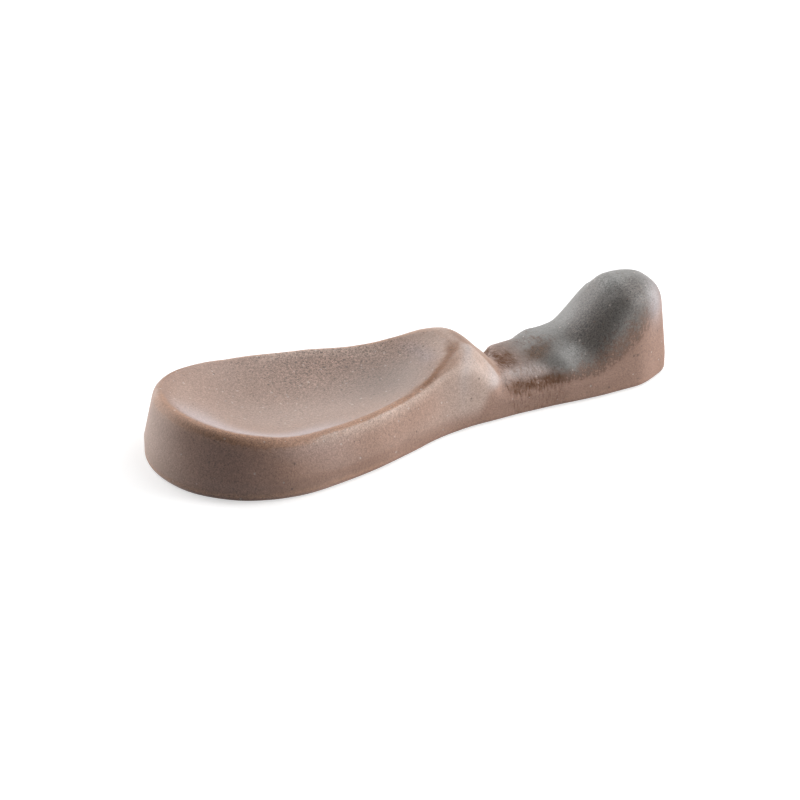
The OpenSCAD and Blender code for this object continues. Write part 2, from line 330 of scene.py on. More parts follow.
cover = greyCover()
brownDepth = coats["grey"] * smoothStep(coats["thickFrom"], 1, cover)
greyFace = sunkenFace(coats["tuck"] * (1 - smoothStep(0, coats["tuckTo"], cover)))
greyUnder = sunkenFace(brownDepth + coats["sunk"])
brownFace = sunkenFace(brownDepth)
clayFace = sunkenFace(brownDepth + coats["brown"])


def gridIndex(count):
    # Number of each point: ring by ring, and both sides share the points of the last ring.
    column = np.arange(columns + 1)
    index = np.arange(count)[:, None] * columns + column % columns
    index[-1] = (count - 1) * columns + np.minimum(column, columns - column)
    return index


def pointList(grid):
    # The grid's points or values in the order of gridIndex.
    return np.concatenate([grid[:-1].reshape(-1, *grid.shape[2:]), grid[-1, :columns // 2 + 1]])


def patches(index, firstColumn=0):
    # Two triangles between neighbouring rings and columns. Their shared edge leans away from
    # the rest's two ends, so that no edge on the spine serves both sides.
    a, b, d, e = index[:-1, :-1], index[:-1, 1:], index[1:, :-1], index[1:, 1:]
    column = firstColumn + np.arange(a.shape[1])
    leansBack = np.broadcast_to(4 * column // columns % 2 == 0, a.shape)
    one = np.where(leansBack, [a, d, b], [a, e, b])
    two = np.where(leansBack, [b, d, e], [a, d, e])
    return np.concatenate([one.reshape(3, -1).T, two.reshape(3, -1).T])


def makePiece(name, node, points, faces, values):
    # A smooth mesh in the frame's place, with its values kept as attributes of the points.
    used, faces = np.unique(faces, return_inverse=True)
    faces = faces.reshape(-1, 3)
    mesh = bpy.data.meshes.new(name)
    mesh.from_pydata(points[used] - (restLength / 2, 0, 0), [], faces.tolist())
    mesh.shade_smooth()
    for label, value in values.items():
        attribute = mesh.attributes.new(label, "FLOAT", "POINT")
        attribute.data.foreach_set("value", value[used].astype(np.float32))
    piece = bpy.data.objects.new(name, mesh)
    scene.collection.objects.link(piece)
    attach(piece, "root")
    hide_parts(node)
    print(name, "made:", len(used), "points,", len(faces), "triangles")
    return piece


# What the marks of the glaze are read from, at each point of the skin
skinX, skinY, skinZ = skin[:, :, 0], skin[:, :, 1], skin[:, :, 2]
facingUp = normal[:, :, 2]
topSide = facingUp > 0
nearHalf = skinY < 0
onWall = np.arange(rings)[:, None] <= skinZ.argmax(0)
hollowDown, hollowAcross = hollowPlace(skinX, skinY)
hollowShare = hollowDown**2 + hollowAcross**2  # 0 in the hollow's middle and 1 at its edge
hill, bowl = hillAndBowl(skinX, skinY)
pastCrease = skinX - crease["place"] - crease["slant"] * skinY


def ramp(ends, value):
    # 0 at the first of the two ends and 1 at the second.
    return smoothStep(*ends, value)


def bell(shape, value):
    # e to the power of minus the square of the distance from the middle, in spreads.
    middle, spread = shape
    return np.exp(-((value - middle) / spread)**2)


def spot(x, y, spread):
    # A bell over the distance from a point of the plan.
    return bell((0, spread), np.hypot(skinX - x, skinY - y))


# In the five dictionaries of marks, two numbers are a ramp's ends or a bell's middle and spread,
# and three are a spot. Places and heights are in metres, bends in 1/m, and a tilt is the upward
# share of the normal. A loss is how much a mark loses where another one is full.
rim = {
    "sharpBend": (110, 300), "sharpAbove": (0.0035, 0.00525), "farSide": (0.002, 0.006), "farLoss": 0.9,
    "poolBend": (-30, -130), "belowRim": (0.0026, 0), "dishEnd": (inDish(1), inDish(0.9)),
    "back": (inDish(0.68), inDish(0.82)), "crestSpread": 0.0007, "crestTilt": 0.5,
    "crestSide": (-0.0030, 0.0015), "crestLoss": 0.85,
    # The pale edge is a painted highlight on the near rim's outer round.
    "paleTilt": (0.9, 0.6), "paleFrom": (inDish(0.3), inDish(0.42)), "paleLoss": 0.8,
    "hem": (0.001, 0.0004), "hemBack": (inDish(0.5), inDish(0.8)), "hemLoss": 0.5,
    # The dark spot near the nose is painted shade, and the scorch below the rim is partly painted
    # shade.
    "dark": (0.0080, -0.0112, 0.0062), "scorchAndShade": (0.0095, 0.0072),
    "warm": (0.0060, 0.0032), "warmFrom": (0.012, 0.018), "warmTo": (inDish(0.9), inDish(0.8)),
}
# How far the hill stands above the bowl where the dark ring runs inside the crest
crestTable = smoothTable([
    (inDish(0.65), 0.0042), (inDish(0.75), 0.0037), (inDish(0.82), 0.0028), (inDish(0.87), 0.0027),
    (inDish(0.915), 0.0022), (inDish(0.945), 0.0019), (inDish(0.99), 0.0013)])


def rimMarks():
    # Where the glaze breaks over the rim and inside the crest, and the tones of the wall below: scorch
    # with painted shade under the rim, a spot of painted shade on the wall and rim near the nose, and a
    # painted highlight on the near rim's outer round.
    underRim = ramp(rim["belowRim"], skinZ.max(0) - skinZ) * onWall * ramp(rim["dishEnd"], skinX)
    atBack = ramp(rim["back"], skinX)
    crest = (bell((along(crestTable, skinX), rim["crestSpread"]), hill - bowl) * atBack
             * (facingUp > rim["crestTilt"])
             * (1 - rim["crestLoss"] * ramp(rim["crestSide"], skinY)))
    paintedLightEdge = underRim * ramp(rim["paleTilt"], facingUp) * nearHalf * ramp(rim["paleFrom"], skinX)
    sharp = (ramp(rim["sharpBend"], bend) * ramp(rim["sharpAbove"], skinZ)
             * (1 - atBack) * (1 - rim["paleLoss"] * paintedLightEdge)
             * (1 - rim["farLoss"] * ramp(rim["farSide"], skinY)))
    # A spot of painted shade on the wall and rim near the nose
    dark = spot(*rim["dark"])
    return {
        "glazeBreak": np.maximum(sharp, crest),
        "crestRing": crest,
        "glazePool": ramp(rim["poolBend"], bend),
        "underRim": underRim,
        "paintedLightEdge": paintedLightEdge,
        "scorchAndShade": underRim * bell(rim["scorchAndShade"], skinX),
        "paintedShadeRim": dark,
        "paintedShadeWall": onWall * dark,
        "warmWall": (onWall * bell(rim["warm"], skinZ) * ramp(rim["warmFrom"], skinX)
                     * ramp(rim["warmTo"], skinX)),
        "hemBreak": bell(rim["hem"], skinZ) * (1 - rim["hemLoss"] * ramp(rim["hemBack"], skinX)),
    }


# inside, floor and nearShare are ramps of hollowShare, and backShare one of hollowDown.
dish = {
    # The dull spot is painted shade; the back and the near rim get painted highlights.
    "inside": (1.02, 0.8), "floor": (0.95, 0.6), "dullShade": (0.0384, -0.0010, 0.0070),
    "backShare": (0.8, 1), "backSide": (-0.0045, -0.0005),
    "nearShare": (0.15, 0.5), "nearAcross": (0.3, -0.25), "nearTo": (inDish(0.57), inDish(0.39)),
    "speckTilt": (0.4, 0.7), "speckSide": (-0.003, 0.009), "speckFrom": (inDish(0.25), inDish(0.6)),
}
insideDish = ramp(dish["inside"], hollowShare) * topSide


def dishMarks():
    # The hollow: its middle dulled and darkened with painted shade, painted highlights on its back and
    # near rim, and specks on its far side.
    return {
        "insideDish": insideDish,
        "deepDish": ramp(dish["floor"], hollowShare) * topSide,
        "dullShadedDish": insideDish * spot(*dish["dullShade"]),
        "paintedLightBackDish": insideDish * ramp(dish["backShare"], hollowDown) * ramp(dish["backSide"], skinY),
        "paintedLightNearRim": (insideDish * ramp(dish["nearShare"], hollowShare)
                    * ramp(dish["nearAcross"], hollowAcross) * ramp(dish["nearTo"], skinX)),
        "speckled": (insideDish * ramp(dish["speckTilt"], facingUp)
                     * ramp(dish["speckSide"], skinY) * ramp(dish["speckFrom"], skinX)),
    }


# The ridge's near edge slants across the shoulder, and the flank's lower limit climbs towards
# the neck. The line runs along the hollow's far side, where lineReach is a ramp of hollowShare.
shoulder = {
    "edgePlace": inDish(0.98), "edgeSide": -0.0027, "edgeSlant": 0.6, "edgeFade": (-0.0010, 0.0010),
    "ridgeSide": (0.0066, 0.0012), "ridgeFrom": (inDish(0.96), inDish(1)),
    "ridgeTo": (inNeck(0.34), inNeck(0.15)),
    # The light by the crest and crease, on the flank, on the nose and along the line is painted
    # highlight.
    "crestLight": (-0.0002, 0.0008), "lightFrom": (inDish(0.9), inDish(0.95)),
    "crease": (-0.0012, 0.0012), "creaseAbove": (0.005, 0.0065),
    "flankFrom": (inDish(0.55), inDish(1)), "flankTo": (0.0004, -0.0006), "flankLow": 0.0010,
    "flankClimb": 0.0041, "flankFade": 0.0030, "climbAlong": (inDish(0.97), inNeck(0.15)),
    "nose": (0.0035, 0), "noseShare": 0.5,
    "lineReach": (0.53, 0.68), "lineTilt": 0.6, "lineSide": (0.004, 0.008), "lineShare": 0.55,
    "lineFrom": (inDish(0.4), inDish(0.5)), "lineTo": (inDish(0.9), inDish(0.75)),
}


def shoulderMarks():
    # The shoulder's brown ridge, and the painted highlights before it, by the crest and crease and on
    # the flank, nose and line.
    edgeY = shoulder["edgeSide"] - shoulder["edgeSlant"] * (skinX - shoulder["edgePlace"])
    pastEdge = ramp(shoulder["edgeFade"], skinY - edgeY)
    ridge = (pastEdge * ramp(shoulder["ridgeSide"], skinY) * topSide
             * ramp(shoulder["ridgeTo"], skinX) * ramp(shoulder["ridgeFrom"], skinX))
    crestLight = (bell(shoulder["crestLight"], hill - bowl) * topSide
                  * ramp(shoulder["lightFrom"], skinX))
    creaseLight = bell(shoulder["crease"], pastCrease) * ramp(shoulder["creaseAbove"], skinZ)
    low = shoulder["flankLow"] + shoulder["flankClimb"] * ramp(shoulder["climbAlong"], skinX)
    onFlank = ((1 - insideDish) * ramp(shoulder["flankFrom"], skinX)
               * ramp(shoulder["flankTo"], pastCrease)
               * smoothStep(low, low + shoulder["flankFade"], skinZ))
    farLine = (ramp(shoulder["lineReach"], hollowShare) * (facingUp > shoulder["lineTilt"])
               * ramp(shoulder["lineSide"], skinY) * ramp(shoulder["lineFrom"], skinX)
               * ramp(shoulder["lineTo"], skinX))
    return {
        "shoulderRidge": ridge,
        "paintedLightCrease": (creaseLight + crestLight) * (1 - pastEdge),
        "paintedLightFlank": (onFlank + shoulder["noseShare"] * onWall * ramp(shoulder["nose"], skinX)
                      + shoulder["lineShare"] * farLine),
    }


# The hump's line waves by a depth in metres, with so many radians to the metre.
neck = {
    "from": (inNeck(0.2), inNeck(0.2) + 0.002), "to": (inNeck(0.95), inNeck(0.95) - 0.004),
    "band": (0.0048, 0.001), "low": (0.0052, 0.0035),
    "patch": (0.0020, 0.0019), "patchSide": (-0.0012, 0.0022), "patchTilt": (0.75, 1),
    "saddleFrom": (0.0002, 0.0012), "saddleTo": (inNeck(0.78), inNeck(0.6)),
    "saddleTilt": (0.75, 0.95), "saddleSide": (-0.005, -0.0035),
    "hump": (inNeck(0.78), 0.0018), "humpTilt": (0.3, 0.7), "waveDepth": 0.0008, "waveTurn": 700,
    "humpNear": (-0.0036, -0.0016), "humpFar": (0.001, 0.005), "humpLoss": 0.5,
    "crease": (0.0006, 0.0005), "creaseAbove": (0.0045, 0.006),
    # The pale band is a painted highlight.
    "paintedLightBand": (0.0061, 0.0008), "paleFrom": (-0.0002, 0.0006), "paleTo": (inNeck(0.85), inNeck(0.5)),
    "stain": (0.0644, -0.0024, 0.0024),
}
rustShares = {"band": 0.72, "patch": 0.60, "saddle": 0.30, "hump": 0.38, "low": 0.25, "crease": 0.5}


def neckMarks():
    # Rust along the neck's edges, saddle and hump, a painted highlight band over it and one dark stain.
    onNeck = ramp(neck["from"], skinX) * ramp(neck["to"], skinX)
    wavyX = skinX + neck["waveDepth"] * np.sin(neck["waveTurn"] * skinY)
    rusty = {
        "band": bell(neck["band"], skinZ) * onNeck,
        "patch": (bell(neck["patch"], pastCrease) * bell(neck["patchSide"], skinY)
                  * ramp(neck["patchTilt"], facingUp)),
        "saddle": (ramp(neck["saddleFrom"], pastCrease) * ramp(neck["saddleTo"], skinX)
                   * ramp(neck["saddleTilt"], facingUp) * ramp(neck["saddleSide"], skinY)),
        "hump": (bell(neck["hump"], wavyX) * ramp(neck["humpTilt"], facingUp)
                 * (1 - neck["humpLoss"] * ramp(neck["humpFar"], skinY))
                 * ramp(neck["humpNear"], skinY)),
        "low": onNeck * ramp(neck["low"], skinZ),
        "crease": bell(neck["crease"], pastCrease) * ramp(neck["creaseAbove"], skinZ),
    }
    return {
        "rust": np.clip(sum(rustShares[label] * value for label, value in rusty.items()), 0, 1),
        "paintedLightBand": (bell(neck["paintedLightBand"], skinZ) * ramp(neck["paleFrom"], pastCrease)
                     * ramp(neck["paleTo"], skinX)),
        "stain": spot(*neck["stain"]),
    }


# Spots of painted shade and painted light in the grey, each with its strength: the shade lies on the
# knob's near face, below the hump, in the valley, on the face's left and on the dome, the light on the
# crown and in the dip. The painted glint is on the near side: its place along, its height, its spread
# and its squash.
knob = {
    "from": (inNeck(0.15), inNeck(0.95)), "glint": (0.0848, 0.0128, 0.0018, 0.6),
    "shadeSpots": ((0.0732, -0.0044, 0.0049, 1), (0.0644, -0.0026, 0.0020, 1),
                  (0.0719, -0.0026, 0.0018, 0.9), (0.0755, 0.0005, 0.0026, 0.8),
                  (0.0806, -0.0049, 0.0026, 1.25)),
    "paintedLightSpots": ((0.0782, -0.0015, 0.0023, 1), (0.0690, -0.0050, 0.0017, 0.7)),
}
# Heights where the grey coat starts and where it is full, which climb along the knob's side
greyStartTable = smoothTable([
    (inNeck(0.2), 0.0050), (inNeck(0.75), 0.0037), (inKnob(0.11), 0.0034), (inKnob(0.31), 0.0043),
    (inKnob(0.56), 0.0071), (inKnob(0.78), 0.0099), (inKnob(0.92), 0.0126)])
greyFullTable = smoothTable([
    (inNeck(0.2), 0.0078), (inNeck(0.75), 0.0070), (inKnob(0.11), 0.0092), (inKnob(0.31), 0.0132),
    (inKnob(0.56), 0.0158), (inKnob(0.78), 0.0172), (inKnob(0.92), 0.0178)])


def knobMarks():
    # The grey coat, its spots of painted shade and painted light, and the painted glint.
    start, full = along(greyStartTable, skinX), along(greyFullTable, skinX)
    glintX, glintZ, glintSpread, squash = knob["glint"]
    glintGap = np.hypot(skinX - glintX, squash * (skinZ - glintZ))
    return {
        "greyCoat": np.clip((skinZ - start) / (full - start), 0, 1) * ramp(knob["from"], skinX),
        "paintedShadeGrey": sum(strength * spot(*shape) for *shape, strength in knob["shadeSpots"]),
        "paintedLightGrey": sum(strength * spot(*shape) for *shape, strength in knob["paintedLightSpots"]),
        "glint": bell((0, glintSpread), glintGap) * nearHalf,
    }


allMarks = {**rimMarks(), **dishMarks(), **shoulderMarks(), **neckMarks(), **knobMarks()}
markValues = {label: pointList(value) for label, value in allMarks.items()}
faceIndex = gridIndex(rings)
print("marks of the glaze worked out:", len(markValues))


def clayBody():
    # The fired clay: its wall and top, and a flat underside drawn in from the foot to the spine.
    share = np.linspace(1, 0, fineness["underside"] + 1)[:, None, None]
    middle = clayFace[spineRing] * (1, 0, 0)
    underside = middle + (clayFace[0] - middle) * share
    facePoints = pointList(clayFace)
    underIndex = gridIndex(len(underside)) + len(facePoints)
    underIndex[0] = faceIndex[0]
    return makePiece("clayBody", "clay_body",
                     np.concatenate([facePoints, pointList(underside)]),
                     np.concatenate([patches(faceIndex), patches(underIndex)[:, ::-1]]), {})


def brownGlaze():
    # Outer and inner faces of the coat, joined by a rolled lip whose line wanders a little.
    turn = np.arange(columns) * 2 * np.pi / columns
    waves = sum(np.sin(count * turn + start) for count, start in coats["hemWaves"])
    wander = waves / (2 * len(coats["hemWaves"])) + 0.5
    low = smoothStep(fineness["foot"] + fineness["lowWall"], hemRing, np.arange(rings))[:, None, None]
    raised = low * (wander * coats["hemRise"])[:, None] * (0, 0, 1)
    outer, inner = brownFace + raised, clayFace + raised
    roll = np.linspace(0, np.pi, coats["lipRings"] + 2)[1:-1, None, None]
    middle, half = (outer[hemRing] + inner[hemRing]) / 2, (outer[hemRing] - inner[hemRing]) / 2
    lip = middle + half * np.cos(roll) - np.sin(roll) * (0, 0, coats["lip"])
    outerPoints, innerPoints = pointList(outer), pointList(inner)
    innerIndex = faceIndex + len(outerPoints)
    lipIndex = (np.arange(len(lip))[:, None] * columns + np.arange(columns + 1) % columns
                + len(outerPoints) + len(innerPoints))
    strip = np.concatenate([faceIndex[[hemRing]], lipIndex, innerIndex[[hemRing]]])
    faces = np.concatenate([patches(faceIndex[hemRing:]), patches(innerIndex[hemRing:])[:, ::-1],
                            patches(strip)[:, ::-1]])
    hem = slice(hemRing * columns, (hemRing + 1) * columns)
    values = {label: np.concatenate([value, value, np.tile(value[hem], len(lip))])
              for label, value in markValues.items()}
    return makePiece("brownGlaze", "brown_glaze",
                     np.concatenate([outerPoints, innerPoints, lip.reshape(-1, 3)]), faces, values)


def greyGlaze():
    # The covered part of the skin and a face below it, which share the points of their border.
    first = int((skin[spineRing, :columns // 2, 0] < coats["greyFrom"]).sum())
    window = (slice(coats["greyRing"], None), slice(first, columns - first + 1))
    outerPoints = pointList(greyFace)
    outer = faceIndex[window]
    inner = outer + len(outerPoints)
    inner[0], inner[:, 0], inner[:, -1] = outer[0], outer[:, 0], outer[:, -1]
    values = {label: np.tile(value, 2) for label, value in markValues.items()}
    return makePiece("greyGlaze", "grey_glaze",
                     np.concatenate([outerPoints, pointList(greyUnder)]),
                     np.concatenate([patches(outer, first), patches(inner, first)[:, ::-1]]), values)


# Spots of any finish: how far they stray in their cells, their least and greatest size as shares
# of the radius, and the ramp of their edge
spotShape = {"stray": 0.9, "least": 0.6, "greatest": 1.4, "edge": (1.15, 0.75)}


class Wire:
    # A socket that can stand in a sum: an expression on wires adds its Math nodes.
    def __init__(self, finish, socket):
        self.finish, self.socket = finish, socket

    def __add__(self, other):
        return self.finish.maths("ADD", self, other)

    def __sub__(self, other):
        return self.finish.maths("SUBTRACT", self, other)

    def __rsub__(self, other):
        return self.finish.maths("SUBTRACT", other, self)

    def __mul__(self, other):
        return self.finish.maths("MULTIPLY", self, other)

    def __truediv__(self, other):
        return self.finish.maths("DIVIDE", self, other)

    __radd__, __rmul__ = __add__, __mul__


class Finish:
    # A material under construction, with short names for the nodes that it uses.
    def __init__(self, name):
        self.material = bpy.data.materials.new(name)
        self.material.use_nodes = True
        self.tree = self.material.node_tree
        self.tree.nodes.clear()

    def node(self, kind, settings, sockets, output=0):
        # Any node: its settings first, then the values or links of its sockets.
        made = self.tree.nodes.new(kind)
        for key, value in settings.items():
            setattr(made, key, value)
        for key, value in sockets.items():
            socket = made.inputs[key]
            if isinstance(value, Wire):
                self.tree.links.new(value.socket, socket)
            elif isinstance(value, tuple) and len(value) == 3 and len(socket.default_value) == 4:
                socket.default_value = (*value, 1)
            else:
                socket.default_value = value
        return Wire(self, made.outputs[output]) if made.outputs else None

    def maths(self, operation, *values):
        return self.node("ShaderNodeMath", {"operation": operation}, dict(enumerate(values)))

    def millimetres(self):
        place = self.node("ShaderNodeTexCoord", {}, {}, "Object")
        return self.node("ShaderNodeVectorMath", {"operation": "SCALE"}, {0: place, "Scale": 1000.0})

    def stretched(self, place, scale):
        return self.node("ShaderNodeMapping", {}, {"Vector": place, "Scale": scale})

    def noise(self, place, size, detail, roughness=0.5):
        return self.node("ShaderNodeTexNoise", {}, {
            "Vector": place, "Scale": 1 / size, "Detail": detail, "Roughness": roughness})

    def spots(self, place, spacing, radius, chance):
        # Round spots: one in each cell whose own random number is below the chance.
        sockets = {"Vector": place, "Scale": 1 / spacing, "Randomness": spotShape["stray"]}
        distance = self.node("ShaderNodeTexVoronoi", {}, sockets)
        colour = self.node("ShaderNodeTexVoronoi", {}, sockets, "Color")
        draw = self.node("ShaderNodeSeparateColor", {}, {0: colour})
        other = self.node("ShaderNodeSeparateColor", {}, {0: colour}, 1)
        growth = spotShape["greatest"] - spotShape["least"]
        size = radius / spacing * (spotShape["least"] + growth * other)
        return self.step(*spotShape["edge"], distance / size) * self.maths("LESS_THAN", draw, chance)

    def mark(self, label):
        return self.node("ShaderNodeAttribute", {"attribute_name": label}, {}, "Fac")

    def step(self, low, high, value):
        return self.node("ShaderNodeMapRange", {"interpolation_type": "SMOOTHSTEP"}, {
            "Value": value, "From Min": low, "From Max": high})

    def blend(self, share, one, two):
        return self.node("ShaderNodeMix", {"data_type": "RGBA"}, {0: share, 6: one, 7: two}, 2)

    def surface(self, sockets, height):
        # A Principled shader, with its relief given in mm.
        sockets["Normal"] = self.node("ShaderNodeBump", {}, {
            "Height": height, "Distance": 0.001, "Strength": 1.0})
        shader = self.node("ShaderNodeBsdfPrincipled", {}, sockets)
        self.node("ShaderNodeOutputMaterial", {}, {"Surface": shader})
        return self.material


# Colours of the fired glaze, as linear light
tones = {
    "brown": (0.325, 0.200, 0.152), "brownDeep": (0.270, 0.162, 0.120), "dish": (0.330, 0.226, 0.182),
    # The lilac tone, the two flank tones and the glint are painted highlights.
    "lilacHighlight": (0.410, 0.334, 0.328), "pool": (0.400, 0.292, 0.255), "flank": (0.475, 0.358, 0.302),
    "flankHighlight": (0.450, 0.375, 0.350), "warm": (0.352, 0.205, 0.146), "glint": (0.42, 0.38, 0.39),
    # The wall's dark tone and the dull tone are painted shade.
    "paintedShadeWall": (0.150, 0.080, 0.065), "dullShade": (0.175, 0.128, 0.105),
    "orange": (0.405, 0.240, 0.165), "orangeDeep": (0.180, 0.080, 0.036),
    "rust": (0.100, 0.042, 0.018), "stain": (0.092, 0.056, 0.036),
    # The grey's deep and pale tones are painted shade and painted light.
    "grey": (0.172, 0.167, 0.158), "greyPaintedShade": (0.100, 0.087, 0.078), "greyPaintedLight": (0.260, 0.258, 0.250),
    "greyEdge": (0.125, 0.098, 0.083),
    "speck": (0.070, 0.045, 0.034), "pinprick": (0.56, 0.48, 0.43),
}
# Layers over the brown, from the lowest up, painted highlights and painted shade among them: the mark
# that shows each, its strength and its tone
brownLayers = (
    ("insideDish", 0.8, "dish"), ("paintedLightNearRim", 0.9, "lilacHighlight"), ("paintedLightBackDish", 1, "lilacHighlight"),
    ("dullShadedDish", 0.68, "dullShade"), ("glazePool", 0.3, "pool"), ("paintedLightFlank", 0.8, "flank"),
    ("paintedLightCrease", 1, "flankHighlight"), ("warmWall", 0.5, "warm"), ("paintedShadeWall", 0.6, "paintedShadeWall"),
    ("underRim", 0.6, "orange"), ("paintedLightEdge", 0.8, "flank"),
)
# Noises of the glaze: size in mm, detail and roughness. The streaks are drawn out lengthwise.
noises = {"cloud": (9.0, 3.0, 0.5), "grain": (0.42, 2.0, 0.6), "fine": (0.20, 1.0, 0.5),
          "mottle": (1.1, 3.0, 0.65), "streak": (0.30, 2.0, 0.6)}
streakStretch = (1.0, 0.28, 0.28)
# How strongly each finish shows, and the ramp that brings it up. What is touched has a mark at all.
strengths = {
    "paintedShadeRim": 0.25, "scorchAndShade": 0.6, "hem": 0.8, "ridge": 0.62, "thin": 0.76, "crest": 0.5,
    "greyPaintedLight": 0.7, "greyEdge": 0.8, "greyBorder": 0.8, "glint": 0.75, "stain": 0.92,
    "combing": 0.5, "specks": 0.6, "pits": 0.5,
}
ramps = {
    "cloud": (-0.15, 0.15), "scorchAndShade": (0.35, 0.8), "hem": (0.2, 1.1), "ridge": (0.1, 1.0),
    "thin": (0.1, 1.0), "rust": (0.05, 1.15), "greyEdge": (0.75, 0.25), "greyBorder": (-0.02, 0.25),
    "grey": (0.02, 0.8), "combed": (-0.12, 0.12), "touched": (0.0, 0.2),
}
# How much of each noise breaks up a finish
raggedShares = {
    "scorchAndShade": {"mottle": 1.6}, "hem": {"mottle": 1}, "ridge": {"mottle": 1.6}, "thin": {"mottle": 1.2},
    "rust": {"streak": 1.4, "mottle": 0.9, "grain": 0.8}, "stain": {"mottle": 0.8, "grain": 0.8},
    "greyPaintedShade": {"mottle": 0.8}, "grey": {"mottle": 0.7, "grain": 1.2, "streak": 0.4},
}
glaze = {
    "specks": (0.8, 0.17), "pits": (1.0, 0.16),  # spacing and radius in mm
    "speckChance": 0.04, "farSpecks": 0.8, "greySpecks": 0.2, "pitChance": 0.12, "dishPits": 0.5,
    "rimTone": (-12.0, 5.0), "wallDull": (-24.0, -14.0),  # ramps along, in mm from the rest's middle
    "grainRelief": 0.022, "fineRelief": 0.008, "mottleRelief": 0.02,  # heights in mm
    "pitDepth": 0.03, "speckRelief": 0.01, "rustRelief": 0.05,
    "grain": 0.6, "fineGrain": 0.8, "dishGrain": 0.5, "farGrain": 1.7, "darkGrain": 2.6,
    "wallGrain": 1.04,
    "brownRough": 0.5, "greyRough": 0.54, "thinRough": 0.68, "rustRough": 0.8,  # roughness
    "wallRough": 0.2, "stainRough": 0.2, "grainRough": 0.12,  # added roughness
    "coat": 0.22, "coatRough": 0.38,
    "plainCoat": 0.3, "floorCoat": 0.7, "flankDull": 0.7, "dishDull": 0.8, "darkDull": 0.9,
}


def glazeNoise(f, place):
    # Each noise, shifted to run evenly about 0.
    drawnOut = f.stretched(place, streakStretch)
    return {label: f.noise(drawnOut if label == "streak" else place, *shape) - 0.5
            for label, shape in noises.items()}


def ragged(noise, label):
    # The sum of the noises that break up a finish, each in its share.
    return sum(noise[kind] * share for kind, share in raggedShares[label].items())


def brownColour(f, noise):
    # The clouded brown and its layers, among them painted highlights and painted shade.
    colour = f.blend(f.step(*ramps["cloud"], noise["cloud"]), tones["brownDeep"], tones["brown"])
    for label, strength, tone in brownLayers:
        colour = f.blend(f.mark(label) * strength, colour, tones[tone])
    return colour


def rimColour(f, colour, thin, noise, lengthwise):
    # Thin glaze above the foot, on the shoulder's ridge, over the rim and inside the crest, with scorch
    # and painted shade under the rim.
    # The rim's tone deepens towards the back, and near the nose with painted shade.
    deepShare = f.step(*glaze["rimTone"], lengthwise) + f.mark("paintedShadeRim") * strengths["paintedShadeRim"]
    deep = tones["orangeDeep"]
    scorchAndShade = f.step(*ramps["scorchAndShade"], f.mark("scorchAndShade") + ragged(noise, "scorchAndShade"))
    hem = f.step(*ramps["hem"], f.mark("hemBreak") + ragged(noise, "hem"))
    ridge = f.step(*ramps["ridge"], f.mark("shoulderRidge") * (1 + ragged(noise, "ridge")))
    colour = f.blend(scorchAndShade * strengths["scorchAndShade"], colour, deep)
    colour = f.blend(hem * strengths["hem"], colour, tones["orange"])
    colour = f.blend(ridge * strengths["ridge"], colour, deep)
    colour = f.blend(thin * strengths["thin"], colour, f.blend(deepShare, tones["orange"], deep))
    return f.blend(f.mark("crestRing") * strengths["crest"], colour, deep)


def greyColour(f, colour, coated, noise):
    # The grey with its spots of painted shade and painted light, and its rusty speckled border.
    dark = f.mark("paintedShadeGrey") + ragged(noise, "greyPaintedShade")
    grey = f.blend(dark, tones["grey"], tones["greyPaintedShade"])
    grey = f.blend(f.mark("paintedLightGrey") * strengths["greyPaintedLight"], grey, tones["greyPaintedLight"])
    grey = f.blend(f.step(*ramps["greyEdge"], coated) * strengths["greyEdge"], grey, tones["greyEdge"])
    share = coated + f.step(*ramps["touched"], coated) * ragged(noise, "grey")
    border = f.step(*ramps["greyBorder"], share) * strengths["greyBorder"]
    colour = f.blend(border, colour, tones["rust"])
    return f.blend(f.step(*ramps["grey"], share), colour, grey)


def neckColour(f, colour, rust, stain, noise):
    # The painted highlight band combed by streaks, the painted glint, the stain and the rust.
    combed = 1 - strengths["combing"] * (1 - f.step(*ramps["combed"], noise["streak"]))
    colour = f.blend(f.mark("paintedLightBand") * combed, colour, tones["flankHighlight"])
    colour = f.blend(f.mark("glint") * strengths["glint"], colour, tones["glint"])
    colour = f.blend(stain * strengths["stain"], colour, tones["stain"])
    return f.blend(rust, colour, tones["rust"])


def grainyColour(f, colour, coated, noise):
    # The colour made lighter and darker by the grain, more so where it is coarse.
    rough = noise["grain"] * glaze["grain"] + noise["fine"] * glaze["fineGrain"]
    coarse = (1 + glaze["dishGrain"] * f.mark("insideDish") + glaze["farGrain"] * f.mark("speckled")
              + glaze["darkGrain"] * f.mark("paintedShadeGrey") * coated
              + glaze["wallGrain"] * f.mark("paintedShadeWall"))
    light = 1 + rough * coarse
    return f.node("ShaderNodeVectorMath", {"operation": "SCALE"}, {0: colour, "Scale": light})


